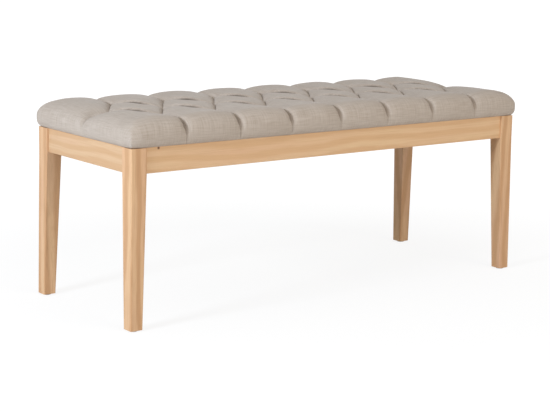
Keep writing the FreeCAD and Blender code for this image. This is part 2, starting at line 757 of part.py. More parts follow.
doc.recompute()
for thing in doc.Objects:
    if "Invalid" in thing.State or "Error" in thing.State:
        raise RuntimeError("%s could not be made: %s" % (thing.Label, thing.State))
for piece in nodes:
    if piece.Shape.isNull() or not piece.Shape.isValid():
        raise RuntimeError("%s has no valid shape" % piece.Label)
for piece in nodes:
    piece.Shape.exportStep("parts/%s.step" % piece.Label)
    box = piece.Shape.optimalBoundingBox()
    print("%-28s %2d solids %10.1f cm3   z %.1f to %.1f" % (
        piece.Label, len(piece.Shape.Solids), piece.Shape.Volume / 1000, box.ZMin, box.ZMax))
print(len(nodes), "nodes")
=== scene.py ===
import math

import bmesh
import bpy
from mathutils import Matrix, Vector, noise


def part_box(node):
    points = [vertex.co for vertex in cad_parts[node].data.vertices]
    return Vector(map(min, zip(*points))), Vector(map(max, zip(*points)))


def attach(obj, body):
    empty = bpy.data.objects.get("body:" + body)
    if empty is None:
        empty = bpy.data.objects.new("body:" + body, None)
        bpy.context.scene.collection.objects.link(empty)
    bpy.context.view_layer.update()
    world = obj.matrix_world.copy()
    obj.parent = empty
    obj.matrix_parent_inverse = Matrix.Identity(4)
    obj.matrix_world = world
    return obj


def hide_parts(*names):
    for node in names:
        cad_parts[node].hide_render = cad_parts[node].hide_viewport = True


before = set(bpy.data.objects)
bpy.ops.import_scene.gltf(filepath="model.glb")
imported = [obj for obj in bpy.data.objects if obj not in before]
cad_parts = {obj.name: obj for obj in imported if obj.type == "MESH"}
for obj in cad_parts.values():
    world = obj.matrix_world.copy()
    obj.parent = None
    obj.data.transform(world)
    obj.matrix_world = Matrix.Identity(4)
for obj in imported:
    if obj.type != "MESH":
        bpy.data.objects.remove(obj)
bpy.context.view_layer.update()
MM = 0.001

# Legs: four turned copies of one solid hardwood leg, sawn straight on its outer faces, tapered on
# the two inner ones, sanded, and sealed with a thin clear lacquer that leaves the grain to be seen.
LEGS = ["front_left_leg", "front_right_leg", "rear_left_leg", "rear_right_leg"]
# The grain: each stretch is how much slower a pattern changes along the grain than across it.
RING_SPACING = 24 * MM
RING_STRETCH = 0.055
WANDER_LENGTH = 125 * MM
WANDER_STRETCH = 0.3
WANDER_REACH = 50 * MM
BLUSHES_PER_METRE = 14
BLUSH_STRETCH = 0.2
# Real fibres are finer than 0.5 mm. They are drawn 1.4 mm wide, so that the render shows them.
FIBRE_WIDTH = 1.4 * MM
FIBRE_STRETCH = 0.018
LACQUER_ROUGHNESS = 0.46


def shade(hex_colour):
    """A colour written as sRGB hex, as the linear RGBA that a shader takes."""
    parts = [int(hex_colour[at:at + 2], 16) / 255 for at in (1, 3, 5)]
    return [part / 12.92 if part <= 0.04045 else ((part + 0.055) / 1.055) ** 2.4
            for part in parts] + [1.0]


def add(material, kind, links=None, inputs=None, **settings):
    """Add a node: links names sockets to feed, inputs names sockets to set."""
    tree = material.node_tree
    made = tree.nodes.new(kind)
    for name, value in settings.items():
        setattr(made, name, value)
    for name, value in (inputs or {}).items():
        made.inputs[name].default_value = value
    for name, source in (links or {}).items():
        tree.links.new(source, made.inputs[name])
    return made


def new_material(name):
    """An empty material, with the output node that its surface goes to."""
    material = bpy.data.materials.new(name)
    material.use_nodes = True
    material.node_tree.nodes.clear()
    return material, add(material, "ShaderNodeOutputMaterial")


def finish_with(piece, material):
    """Give a piece or a CAD node one material all over."""
    if not piece.material_slots:
        piece.data.materials.append(material)
    for place in piece.material_slots:
        place.material = material


def grained_wood(name, grain, heart, colours, roughness=LACQUER_ROUGHNESS, distortion=3.4,
                 knot=None):
    """Sawn wood whose growth rings run along one axis about a heart beside the piece.

    Early wood is pale and late wood is darker, fibres show as short fine streaks along the
    grain, and the board is a little pinker or yellower from place to place. A knot has a place,
    a radius and a colour.
    """
    def along(share):
        """A scale that draws a pattern out along the grain."""
        return [share if axis == grain else 1.0 for axis in "XYZ"]

    pale, late, fibre, blush = colours
    material, output = new_material(name)
    where = add(material, "ShaderNodeTexCoord").outputs["Object"]

    rings_from = [-part * share for part, share in zip(heart, along(RING_STRETCH))]
    rings_place = add(material, "ShaderNodeMapping", {"Vector": where},
                      {"Location": rings_from, "Scale": along(RING_STRETCH)})
    wander_place = add(material, "ShaderNodeMapping", {"Vector": where},
                       {"Location": heart, "Scale": along(WANDER_STRETCH)})
    wander = add(material, "ShaderNodeTexNoise", {"Vector": wander_place.outputs["Vector"]},
                 {"Scale": 1 / WANDER_LENGTH, "Detail": 3.0, "Roughness": 0.5})
    sway = add(material, "ShaderNodeVectorMath",
               {0: wander.outputs["Color"]}, {1: (0.5, 0.5, 0.5)}, operation="SUBTRACT")
    swayed = add(material, "ShaderNodeVectorMath",
                 {0: sway.outputs["Vector"], 2: rings_place.outputs["Vector"]},
                 {1: [WANDER_REACH] * 3}, operation="MULTIPLY_ADD")
    # A wave texture makes a ring for each 2 pi / 20 units of its place.
    rings = add(material, "ShaderNodeTexWave", {"Vector": swayed.outputs["Vector"]},
                {"Scale": 2 * math.pi / (20 * RING_SPACING), "Distortion": distortion,
                 "Detail": 2.0, "Detail Scale": 0.6, "Detail Roughness": 0.55},
                wave_type="RINGS", rings_direction=grain, wave_profile="SIN")
    ring_tone = add(material, "ShaderNodeMapRange", {"Value": rings.outputs["Fac"]},
                    {"From Min": 0.1, "From Max": 0.9}, interpolation_type="SMOOTHSTEP")

    fibre_place = add(material, "ShaderNodeMapping", {"Vector": where},
                      {"Scale": along(FIBRE_STRETCH)})
    fibres = add(material, "ShaderNodeTexNoise", {"Vector": fibre_place.outputs["Vector"]},
                 {"Scale": 1 / FIBRE_WIDTH, "Detail": 3.0, "Roughness": 0.6})
    fibre_tone = add(material, "ShaderNodeMapRange", {"Value": fibres.outputs["Fac"]},
                     {"From Min": 0.45, "From Max": 0.75, "To Min": 0.0, "To Max": 0.5})

    blush_place = add(material, "ShaderNodeMapping", {"Vector": where},
                      {"Scale": along(BLUSH_STRETCH), "Location": heart})
    blushes = add(material, "ShaderNodeTexNoise", {"Vector": blush_place.outputs["Vector"]},
                  {"Scale": BLUSHES_PER_METRE, "Detail": 2.0})
    blush_tone = add(material, "ShaderNodeMapRange", {"Value": blushes.outputs["Fac"]},
                     {"From Min": 0.4, "From Max": 0.7, "To Min": 0.0, "To Max": 0.65})

    ground = add(material, "ShaderNodeMix", {"Factor": blush_tone.outputs["Result"]},
                 {6: shade(pale), 7: shade(blush)}, data_type="RGBA")
    ringed = add(material, "ShaderNodeMix",
                 {"Factor": ring_tone.outputs["Result"], 6: ground.outputs[2]},
                 {7: shade(late)}, data_type="RGBA")
    colour = add(material, "ShaderNodeMix",
                 {"Factor": fibre_tone.outputs["Result"], 6: ringed.outputs[2]},
                 {7: shade(fibre)}, data_type="RGBA").outputs[2]
    if knot:
        from_knot = add(material, "ShaderNodeVectorMath", {0: where}, {1: knot["place"]},
                        operation="DISTANCE")
        in_knot = add(material, "ShaderNodeMapRange", {"Value": from_knot.outputs["Value"]},
                      {"From Min": knot["radius"], "From Max": 0.4 * knot["radius"]})
        colour = add(material, "ShaderNodeMix", {"Factor": in_knot.outputs["Result"], 6: colour},
                     {7: shade(knot["colour"])}, data_type="RGBA").outputs[2]

    gloss = add(material, "ShaderNodeMapRange", {"Value": fibres.outputs["Fac"]},
                {"To Min": roughness - 0.05, "To Max": roughness + 0.09})
    relief = add(material, "ShaderNodeBump", {"Height": fibres.outputs["Fac"]},
                 {"Strength": 0.12, "Distance": 0.4 * MM})
    surface = add(material, "ShaderNodeBsdfPrincipled",
                  {"Base Color": colour, "Roughness": gloss.outputs["Result"],
                   "Normal": relief.outputs["Normal"]},
                  {"IOR": 1.5, "Specular IOR Level": 0.35})
    material.node_tree.links.new(surface.outputs["BSDF"], output.inputs["Surface"])
    return material


LEG_COLOURS = ("#DDB68C", "#C99C72", "#AC8059", "#CFA080")
HEART_GAP = 50 * MM
HEART_GAP_STEP = 12 * MM
for number, leg in enumerate(LEGS):
    low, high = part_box(leg)
    outward = Vector((math.copysign(1, low[0]), math.copysign(1, low[1]), 0))
    heart = (Vector(low) + Vector(high)) / 2 + outward * (HEART_GAP + HEART_GAP_STEP * number)
    finish_with(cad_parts[leg],
                grained_wood("lacquered_leg_wood_%d" % number, "Z", heart, LEG_COLOURS))

# Foot glides: a moulded polyethylene disc under each leg, turned to a soft lower rim and nailed
# through its middle. Matt grey-brown, scuffed lighter where it drags.
GLIDE_COLOURS = ("#8D8377", "#B3A899")
SCUFFS_PER_METRE = 420


def speckled(name, colours, specks_per_metre, roughness, detail=2.0, ior=1.5):
    """An even matt finish whose colour wanders between two tones, in specks of one fineness."""
    material, output = new_material(name)
    where = add(material, "ShaderNodeTexCoord").outputs["Object"]
    specks = add(material, "ShaderNodeTexNoise", {"Vector": where},
                 {"Scale": specks_per_metre, "Detail": detail})
    colour = add(material, "ShaderNodeMix", {"Factor": specks.outputs["Fac"]},
                 {6: shade(colours[0]), 7: shade(colours[1])}, data_type="RGBA")
    surface = add(material, "ShaderNodeBsdfPrincipled", {"Base Color": colour.outputs[2]},
                  {"Roughness": roughness, "IOR": ior})
    material.node_tree.links.new(surface.outputs["BSDF"], output.inputs["Surface"])
    return material


glide_plastic = speckled("moulded_glide_polyethylene", GLIDE_COLOURS, SCUFFS_PER_METRE, 0.62,
                         detail=3.0)
for leg in LEGS:
    finish_with(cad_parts[leg.replace("leg", "foot_glide")], glide_plastic)

# Aprons: four straight boards of the same wood between the legs, flat sawn, so that the long
# faces show cathedral grain in long pale waves. Doweled and glued, lacquered with the legs. The
# front one has a small dark knot by its upper edge, near the left leg.
# The long aprons' colours are paler than this wood, which is painted light on the long faces. The end
# aprons' colours are darker and greyer, which is painted shade on the end faces.
LONG_APRON_COLOURS_PAINTED_PALER = ("#E0BD93", "#D8AF84", "#C99E74", "#DDB38D")
END_APRON_COLOURS_PAINTED_DARKER = ("#D3B18B", "#CBA47C", "#C0966F", "#D2AB8A")
APRON_DISTORTION = 2.6
APRON_HEARTS = {
    "front_apron": Vector((0.10, 0.02, 0.30)),
    "rear_apron": Vector((-0.30, -0.02, 0.31)),
    "left_end_apron": Vector((0.02, 0.05, 0.33)),
    "right_end_apron": Vector((-0.02, -0.07, 0.32)),
}
KNOT = {"place": (-0.510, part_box("front_apron")[0][1], 0.407), "radius": 4 * MM, "colour": "#6B452A"}
for apron, heart_offset in APRON_HEARTS.items():
    low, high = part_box(apron)
    heart = Vector((low[0] + high[0], low[1] + high[1], 0)) / 2 + heart_offset
    at_end = "end" in apron
    # The end aprons take the darker colours (painted shade) and the long ones the paler colours
    # (painted light).
    wood = grained_wood("lacquered_" + apron, "Y" if at_end else "X", heart,
                        END_APRON_COLOURS_PAINTED_DARKER if at_end else LONG_APRON_COLOURS_PAINTED_PALER,
                        distortion=APRON_DISTORTION, knot=KNOT if apron == "front_apron" else None)
    finish_with(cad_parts[apron], wood)

# Inner wood: the cross rail, corner blocks and dowels, of plain planed softwood and beech that
# nobody sees from above. Bare, so it is rougher and has no shine.
BARE_COLOURS = ("#D3B98F", "#C2A073", "#AE8A5C", "#CBAC82")
BARE_ROUGHNESS = 0.72
INNER_WOOD = {"centre_cross_rail": "Y", "apron_dowels": "X"}
INNER_WOOD.update({leg.replace("leg", "corner_block"): "X" for leg in LEGS})
for name, grain in INNER_WOOD.items():
    low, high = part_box(name)
    heart = (Vector(low) + Vector(high)) / 2 + Vector((0.03, 0.03, 0.07))
    finish_with(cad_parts[name],
                grained_wood("bare_" + name, grain, heart, BARE_COLOURS, roughness=BARE_ROUGHNESS))

# Fasteners: hanger bolts, washers, nuts, screws, nails and staples of cold formed steel with a
# thin bright zinc plating, slightly mottled where the plating crystals catch the light.
FASTENERS = ["leg_hanger_bolts", "leg_bolt_washers", "leg_bolt_nuts", "corner_block_screws",
             "seat_screws", "glide_nails", "cover_staples"]
ZINC_COLOURS = ("#B7B9BB", "#D6D7D4")
CRYSTALS_PER_METRE = 700
zinc, output = new_material("zinc_plated_steel")
crystals = add(zinc, "ShaderNodeTexNoise",
               {"Vector": add(zinc, "ShaderNodeTexCoord").outputs["Object"]},
               {"Scale": CRYSTALS_PER_METRE, "Detail": 2.0})
plating = add(zinc, "ShaderNodeMix", {"Factor": crystals.outputs["Fac"]},
              {6: shade(ZINC_COLOURS[0]), 7: shade(ZINC_COLOURS[1])}, data_type="RGBA")
frosted = add(zinc, "ShaderNodeMapRange", {"Value": crystals.outputs["Fac"]},
              {"To Min": 0.28, "To Max": 0.48})
zinc_surface = add(zinc, "ShaderNodeBsdfPrincipled",
                   {"Base Color": plating.outputs[2], "Roughness": frosted.outputs["Result"]},
                   {"Metallic": 1.0})
zinc.node_tree.links.new(zinc_surface.outputs["BSDF"], output.inputs["Surface"])
for name in FASTENERS:
    finish_with(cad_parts[name], zinc)

# Seat board: plywood, sanded on its faces, with the plies as darker and paler stripes on its
# edges. It carries the foam and is bored for every tuft tie.
PLY_COLOURS = ("#CBAE82", "#94703F")
PLY_PAIR = 6 * MM
VENEER_LINES_PER_METRE = 160
VENEER_STRETCH = 0.03
plywood, output = new_material("sanded_plywood")
where = add(plywood, "ShaderNodeTexCoord").outputs["Object"]
heights = add(plywood, "ShaderNodeSeparateXYZ", {"Vector": where})
plies = add(plywood, "ShaderNodeMath", {0: heights.outputs["Z"]}, {1: PLY_PAIR},
            operation="PINGPONG")
even = add(plywood, "ShaderNodeMapRange", {"Value": plies.outputs["Value"]},
           {"From Max": PLY_PAIR})
veneer_place = add(plywood, "ShaderNodeMapping", {"Vector": where},
                   {"Scale": (VENEER_STRETCH, 1.0, 1.0)})
veneer = add(plywood, "ShaderNodeTexNoise", {"Vector": veneer_place.outputs["Vector"]},
             {"Scale": VENEER_LINES_PER_METRE, "Detail": 4.0})
ply_tone = add(plywood, "ShaderNodeMath",
               {0: even.outputs["Result"], 1: veneer.outputs["Fac"]}, operation="MULTIPLY")
ply_colour = add(plywood, "ShaderNodeMix", {"Factor": ply_tone.outputs["Value"]},
                 {6: shade(PLY_COLOURS[0]), 7: shade(PLY_COLOURS[1])}, data_type="RGBA")
board_surface = add(plywood, "ShaderNodeBsdfPrincipled", {"Base Color": ply_colour.outputs[2]},
                    {"Roughness": 0.75, "IOR": 1.5})
plywood.node_tree.links.new(board_surface.outputs["BSDF"], output.inputs["Surface"])
finish_with(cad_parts["seat_board"], plywood)

# Dust cover: thin black non-woven cloth laid over the underside of the board and tacked round
# its edge, which hides the staples and the backs of the ties. Its tangled fibres take all shine.
DUST_COLOURS = ("#1F1E1E", "#383635")
TANGLES_PER_METRE = 420
finish_with(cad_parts["dust_cover"],
            speckled("black_non_woven_cloth", DUST_COLOURS, TANGLES_PER_METRE, 0.95, detail=3.0,
                     ior=1.45))

# Tuft ties: waxed twine, drawn down through foam and board by hand, and knotted to moulded white
# plastic anchors that bear against the underside of the board.
TWINE_COLOURS = ("#C9BA9A", "#E4DAC3")
STRANDS_PER_METRE = 700
ANCHOR_COLOURS = ("#E3E1DA", "#EDEBE6")
ANCHOR_CLOUDS_PER_METRE = 160
finish_with(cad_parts["tuft_ties"],
            speckled("waxed_twine", TWINE_COLOURS, STRANDS_PER_METRE, 0.6, ior=1.45))
finish_with(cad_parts["tuft_anchors"],
            speckled("moulded_white_plastic", ANCHOR_COLOURS, ANCHOR_CLOUDS_PER_METRE, 0.4))

# Foam and wadding: open-cell foam glued to the board, and polyester wadding over it, both pale,
# soft and matt. The 22 ties pull them and the cover into one tufted form, so all three layers
# come from one function, each as a sheet that fits over the seat like a lid.
HALF_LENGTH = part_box("front_right_leg")[1][0] - 4 * MM
HALF_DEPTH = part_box("rear_apron")[1][1] + 5 * MM
EDGE_REACH = 30 * MM
EDGE_RISE = 25 * MM
TUFT_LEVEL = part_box("front_apron")[1][2] + 54 * MM
# The tufts: 8 in the middle row and 7 in each outer one, half a pitch along from them.
TUFT_PITCH = 147 * MM
TUFT_ROW = 112 * MM
LAST_TUFT = 3.5 * TUFT_PITCH
DIMPLE_DEPTH = 9 * MM
DIMPLE_WIDTH = 11 * MM
# The pillows between the tufts, and the folds between the pillows.
PILLOW_RISE = 13 * MM
PILLOW_RUN = 74 * MM
PILLOW_FLAT, PILLOW_ROUND = 2.3, 0.55
FOLD_RISE = 3 * MM
FOLD_GAP = 1.5 * MM
FOLD_SLANT = 0.55
CREASE_DEPTH = 3 * MM
CREASE_WIDTH = 7 * MM
WAVE_RISE = 1.2 * MM
WAVES_PER_METRE = 14
# The tucks: folds whose far side laps over the near side, seen from the front left.
TUCK_WAY = Vector((-0.84, -0.55, 0.0))
TUCK_LAP = 8 * MM
TUCK_RISE = 8 * MM
TUCK_REACH = 20 * MM
TUCK_GIVE = 32 * MM
TUCK_DEPTH = 7 * MM
TUCK_WIDTH = 2.2 * MM
TUCK_SHADOW = 1.4 * MM
LIP_ROUND = 1 * MM
# The sides: a rounded shoulder, then a face that bulges, pulled in where a fold runs down it.
SHOULDER = 0.6
SIDE_BULGE = 8 * MM
SIDE_DROP = 75 * MM
BASE_DRAW = 2.5 * MM
BASE_LEAN = 0.1
PLEAT_DEPTH = 9 * MM
PLEAT_WIDTH = 6 * MM
PLEAT_FOOT = 0.7
CORNER_SQUARE, CORNER_SQUARER = 0.45, 0.25
# The two ends: the top falls towards them, with a valley in the middle past the last tuft.
END_VALLEY = 8 * MM
END_VALLEY_RUN = 35 * MM
END_VALLEY_WIDTH = 20 * MM
END_FALL = 17 * MM
END_FALL_REACH = 80 * MM


def eased_shares(count):
    """Shares from 0 to 1, close together at both ends."""
    return [(1 - math.cos(math.pi * step / count)) / 2 for step in range(count + 1)]


def bell(gap, width):
    """1 at no gap, fading to 0 past the width."""
    return math.exp(-(gap / width) ** 2)


def plump(share):
    """How far a stuffed pillow has risen, from 0 at a fold to 1 at its middle."""
    return (1 - (1 - min(max(share, 0.0), 1.0)) ** PILLOW_FLAT) ** PILLOW_ROUND


def phase_at(x):
    """0 in line with the outer tufts, 1 in line with the middle ones and past the last."""
    if abs(x) > LAST_TUFT:
        return 1.0
    return abs((abs(x) / TUFT_PITCH + 0.5) % 1.0 - 0.5) * 2


def fold_at(x):
    """How far the diagonal fold is from the middle of the seat at x."""
    past_last = max(0.0, abs(x) - LAST_TUFT)
    return FOLD_GAP + (TUFT_ROW - FOLD_GAP) * (1 - phase_at(x)) + 0.6 * past_last


def nearest_tuft(x, y):
    """Distance to the closest of the 22 tufts."""
    middle = (min(max(round(x / TUFT_PITCH - 0.5), -4), 3) + 0.5) * TUFT_PITCH
    outer = min(max(round(x / TUFT_PITCH), -3), 3) * TUFT_PITCH
    return min(math.hypot(x - middle, y), math.hypot(x - outer, abs(y) - TUFT_ROW))


def diamond(x, out):
    """How far the diamond pillow between four tufts is filled."""
    across, deep = 2 * (x / TUFT_PITCH - round(x / TUFT_PITCH)), out / TUFT_ROW
    return math.sqrt(max(0.0, 1 - (deep + across) ** 2) * max(0.0, 1 - (deep - across) ** 2))


def outer_pillow(x, out):
    """How far a pillow along the edge is filled. The last one runs on to the end of the seat."""
    cell = min(max(round(abs(x) / TUFT_PITCH - 0.5), 0), 3)
    across, deep = 2 * (abs(x) / TUFT_PITCH - 0.5 - cell), out / TUFT_ROW
    if cell == 3:
        across = min(across, 0.0)
        near_fold = plump(deep)
    else:
        near_fold = plump(deep - across)
    return near_fold * plump(deep + across) * max(0.0, 1 - across ** 2) ** 0.4


def top_height(x, y):
    """Height of the top above the tufts' own level, and how far the pillow there is filled."""
    fold, out = fold_at(x), abs(y)
    ground = FOLD_RISE * math.sin(math.pi * phase_at(x))
    if out < fold and abs(x) < LAST_TUFT:
        full = diamond(x, out)
        ground *= (out / fold) ** 2
    else:
        full = outer_pillow(x, out)
        past_last = min(max(0.0, (abs(x) - LAST_TUFT) / END_VALLEY_RUN), 1.0)
        ground *= max(0.0, 1 - (out - fold) / PILLOW_RUN)
        ground -= END_VALLEY * past_last * bell(out, END_VALLEY_WIDTH)
    crease_gap = out if abs(x) > LAST_TUFT else abs(out - fold) * FOLD_SLANT
    crease = CREASE_DEPTH * math.exp(-crease_gap / CREASE_WIDTH)
    return ground - DIMPLE_DEPTH * bell(nearest_tuft(x, y), DIMPLE_WIDTH) - crease, full


def tuck_at(x, y):
    """How strong the tuck is at x, and how far y lies past its foot.

    Only the folds that run away from the front left are tucks.
    """
    past = (abs(y) - fold_at(x)) * FOLD_SLANT * (1 if y > 0 else -1)
    runs_away = (abs(x) / TUFT_PITCH) % 1.0 >= 0.5
    if (x < 0) == (y < 0):
        runs_away = not runs_away
    if abs(x) > LAST_TUFT or not runs_away:
        return 0.0, past
    return max(0.0, math.sin(math.pi * phase_at(x))) ** 1.2, past


def tucked(x, y, full):
    """How far the cloth is moved by a tuck, and how deep it lies in the shadow under the lap."""
    strength, past = tuck_at(x, y)
    gutter = TUCK_DEPTH * bell(past, TUCK_WIDTH) * strength
    shadow = strength ** 2 * math.exp(-((past - TUCK_SHADOW) / TUCK_SHADOW) ** 4)
    if past <= 0:
        give = 0.95 * full * PILLOW_RISE * bell(past, TUCK_GIVE) * strength
        return Vector((0, 0, -give - gutter)), shadow
    lip = bell(past, TUCK_REACH) * (1 - math.exp(-past / LIP_ROUND)) * strength
    return TUCK_WAY * TUCK_LAP * lip + Vector((0, 0, TUCK_RISE * lip - gutter)), shadow


def end_fall(gap):
    """How far the top has fallen at this gap from the end face."""
    return END_FALL * max(0.0, 1 - gap / END_FALL_REACH) ** 2


def side_profile(down, base):
    """The side before it is filled: reach beyond the top's edge, height, and outward slope."""
    widest = EDGE_REACH + 1 * MM
    if down <= SHOULDER:
        turn = math.pi / 2 * (1 - down / SHOULDER)
        return widest * math.cos(turn), TUFT_LEVEL - EDGE_RISE * (1 - math.sin(turn)), turn
    share = (down - SHOULDER) / (1 - SHOULDER)
    height = TUFT_LEVEL - EDGE_RISE + (base - TUFT_LEVEL + EDGE_RISE) * share
    return widest - BASE_DRAW * share ** 4, height, -BASE_LEAN * share


def ripple(x, y, down):
    """Small unevenness of hand stuffing."""
    return WAVE_RISE * noise.noise(Vector((x * WAVES_PER_METRE, y * WAVES_PER_METRE, down)))


def side_spot(x, y, beyond, inset, base):
    """Where the cloth lies past the edge of the top, by the share that it is beyond it each way."""
    down = max(beyond)
    lift, full = top_height(x, y)
    pleat_gap = math.inf
    if all(beyond):
        full = 1.0
        around = beyond[1] / beyond[0] if beyond[0] >= beyond[1] else 2 - beyond[0] / beyond[1]
        theta = math.pi / 4 * around
    elif beyond[0]:
        pleat_gap = abs(y)
        theta = 0.0
    else:
        pleat_gap = abs(abs(x) - TUFT_PITCH * min(round(abs(x) / TUFT_PITCH), 3))
        theta = math.pi / 2
    outwards = (math.cos(theta), math.sin(theta))
    reach, height, slope = side_profile(down, base)
    if down > 0.5:
        swell = SIDE_BULGE * (1 - ((down - 0.5) / 0.5) ** 5)
    else:
        swell = PILLOW_RISE + (SIDE_BULGE - PILLOW_RISE) * down / 0.5
    swell = swell * full + ripple(x, y, down) * full * (1 - down)
    swell -= PLEAT_DEPTH * bell(pleat_gap, PLEAT_WIDTH) * math.sin(math.pi * min(1, down / PLEAT_FOOT))
    squared = 1 + (1 / max(outwards) - 1) * (CORNER_SQUARE + CORNER_SQUARER * down)
    out = reach * squared + (swell - inset) * math.cos(slope)
    height += (swell - inset) * math.sin(slope) + lift * max(0.0, 1 - down / 0.3)
    end_gap = HALF_LENGTH + SIDE_BULGE - abs(x) - reach * outwards[0]
    height -= end_fall(end_gap) * max(0.0, 1 - down / SHOULDER)
    return Vector((math.copysign(abs(x) + out * outwards[0], x),
                   math.copysign(abs(y) + out * outwards[1], y), height))


def top_spot(x, y, inset):
    """Where the cloth lies on the top, and how deep it lies in the shadow under a tuck's lap."""
    lift, full = top_height(x, y)
    lift -= end_fall(HALF_LENGTH + SIDE_BULGE - abs(x))
    height = TUFT_LEVEL + lift + full * (PILLOW_RISE + ripple(x, y, 0.0)) - inset
    move, shadow = tucked(x, y, full)
    return Vector((x, y, height)) + move, shadow


def tufted_layer(name, inset, base, fineness=1.0):
    """One layer of the seat, inset from the cover and closed at a base height.

    Its grid lines lie on the folds and close together beside them. Its UV map is the cloth laid
    flat, in metres, and its attribute fold_shadow is 1 under the lap of a tuck.
    """
    half_cell, past_last, inner, outer, side = [
        max(2, round(count * fineness)) for count in (16, 8, 14, 26, 20)]
    edge_x, edge_y = HALF_LENGTH - EDGE_REACH, HALF_DEPTH - EDGE_REACH
    half = [0.0]
    for cell in range(7):
        half += [TUFT_PITCH / 2 * (cell + share) for share in eased_shares(half_cell)[1:]]
    half += [LAST_TUFT + (edge_x - LAST_TUFT) * step / past_last
             for step in range(1, past_last + 1)]
    stations = [-x for x in reversed(half[1:])] + half
    columns = len(stations) - 1 + 2 * side
    rows = 2 * (inner + outer + side)
    run_out = eased_shares(outer)
    run_in = eased_shares(2 * inner)

    mesh = bmesh.new()
    bmesh.ops.create_grid(mesh, x_segments=columns, y_segments=rows, size=1.0)
    cloth = mesh.loops.layers.uv.new("cloth")
    fold_shadow = mesh.verts.layers.float.new("fold_shadow")
    flat = {}
    for vertex in mesh.verts:
        column = round((vertex.co.x + 1) / 2 * columns)
        row = round((vertex.co.y + 1) / 2 * rows)
        beyond = (max(side - column, column - (columns - side), 0) / side,
                  max(side - row, row - (rows - side), 0) / side)
        x = stations[min(max(column - side, 0), len(stations) - 1)]
        fold = fold_at(x)
        order = min(abs(row - rows // 2), inner + outer)
        if order <= inner:
            y = fold * (1 - 2 * run_in[inner - order])
        else:
            y = fold + (edge_y - fold) * run_out[order - inner]
        y = y if row >= rows / 2 else -y
        if any(beyond):
            vertex.co = side_spot(x, y, beyond, inset, base + inset)
        else:
            vertex.co, vertex[fold_shadow] = top_spot(x, y, inset)
        flat[vertex] = (x + math.copysign(SIDE_DROP * beyond[0], x),
                        y + math.copysign(SIDE_DROP * beyond[1], y))
    for face in mesh.faces:
        for loop in face.loops:
            loop[cloth].uv = flat[loop.vert]
    rims = [edge for edge in mesh.edges if edge.is_boundary]
    underside = bmesh.ops.holes_fill(mesh, edges=rims, sides=0)["faces"]
    bmesh.ops.inset_region(mesh, faces=underside, thickness=3 * MM, use_even_offset=True)
    bmesh.ops.recalc_face_normals(mesh, faces=mesh.faces)
    data = bpy.data.meshes.new(name)
    mesh.to_mesh(data)
    mesh.free()
    data.shade_smooth()
    piece = bpy.data.objects.new(name, data)
    bpy.context.collection.objects.link(piece)
    return piece


STUFFING_COLOURS = ("#F2EFE6", "#E4DFD0")
STUFFING_CLOUDS_PER_METRE = 90
for name, inset in (("seat_wadding", 6 * MM), ("seat_foam", 12 * MM)):
    layer = tufted_layer("tufted_" + name, inset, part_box(name)[0][2], fineness=0.5)
    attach(layer, "root")
    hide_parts(name)
    finish_with(layer, speckled("soft_" + name, STUFFING_COLOURS, STUFFING_CLOUDS_PER_METRE, 0.95))

# Cover: one piece of plain woven cloth with the look of linen, warm taupe, matt and slubby. The
# ties pull it down, it is folded by hand into tucks and side pleats, and its edge is turned under
# the board and stapled.
CLOTH_PALE = "#C9BEB3"
CLOTH_DEEP = "#BAADA0"
SLUB_COLOUR = "#AFA193"
WEAVE_GAP_COLOUR = "#9C8F82"
FOLD_SHADOW_COLOUR = "#4A4038"
# Real threads are about 0.5 mm apart. They are drawn 1.6 mm apart, because finer ones don't show.
THREAD_SPACING = 1.6 * MM
SLUB_LENGTH = 38 * MM
PATCHES_PER_METRE = 9
WEAVE_STRENGTH = 0.16
cover = tufted_layer("tufted_cover", 0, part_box("seat_cover")[0][2])
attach(cover, "root")
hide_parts("seat_cover")

linen, output = new_material("woven_linen_look_cloth")
weave_place = add(linen, "ShaderNodeUVMap", uv_map="cloth").outputs["UV"]
threads = add(linen, "ShaderNodeSeparateXYZ", {"Vector": weave_place})
thread_waves = []
for axis in "XY":
    angle = add(linen, "ShaderNodeMath", {0: threads.outputs[axis]}, {1: math.pi / THREAD_SPACING},
                operation="MULTIPLY")
    thread_waves.append(add(linen, "ShaderNodeMath", {0: angle.outputs[0]}, operation="SINE"))
crossing = add(linen, "ShaderNodeMath",
               {0: thread_waves[0].outputs[0], 1: thread_waves[1].outputs[0]}, operation="MULTIPLY")
weave = add(linen, "ShaderNodeMapRange", {"Value": crossing.outputs[0]}, {"From Min": -1.0})
slubs = []
for scale in ((1 / SLUB_LENGTH, 1 / THREAD_SPACING, 1.0), (1 / THREAD_SPACING, 1 / SLUB_LENGTH, 1.0)):
    slub_place = add(linen, "ShaderNodeMapping", {"Vector": weave_place}, {"Scale": scale})
    slubs.append(add(linen, "ShaderNodeTexNoise", {"Vector": slub_place.outputs["Vector"]},
                     {"Scale": 0.8, "Detail": 2.0, "Roughness": 0.6}))
slub_sum = add(linen, "ShaderNodeMath", {0: slubs[0].outputs["Fac"], 1: slubs[1].outputs["Fac"]},
               operation="ADD")
slub_tone = add(linen, "ShaderNodeMapRange", {"Value": slub_sum.outputs[0]},
                {"From Min": 0.8, "From Max": 1.25})
patches = add(linen, "ShaderNodeTexNoise",
              {"Vector": add(linen, "ShaderNodeTexCoord").outputs["Object"]},
              {"Scale": PATCHES_PER_METRE, "Detail": 3.0})
patched = add(linen, "ShaderNodeMix", {"Factor": patches.outputs["Fac"]},
              {6: shade(CLOTH_PALE), 7: shade(CLOTH_DEEP)}, data_type="RGBA")
slubbed = add(linen, "ShaderNodeMix", {"Factor": slub_tone.outputs["Result"], 6: patched.outputs[2]},
              {7: shade(SLUB_COLOUR)}, data_type="RGBA")
gap_tone = add(linen, "ShaderNodeMath", {0: weave.outputs["Result"]}, {1: WEAVE_STRENGTH},
               operation="MULTIPLY")
woven = add(linen, "ShaderNodeMix", {"Factor": gap_tone.outputs[0], 6: slubbed.outputs[2]},
            {7: shade(WEAVE_GAP_COLOUR)}, data_type="RGBA")
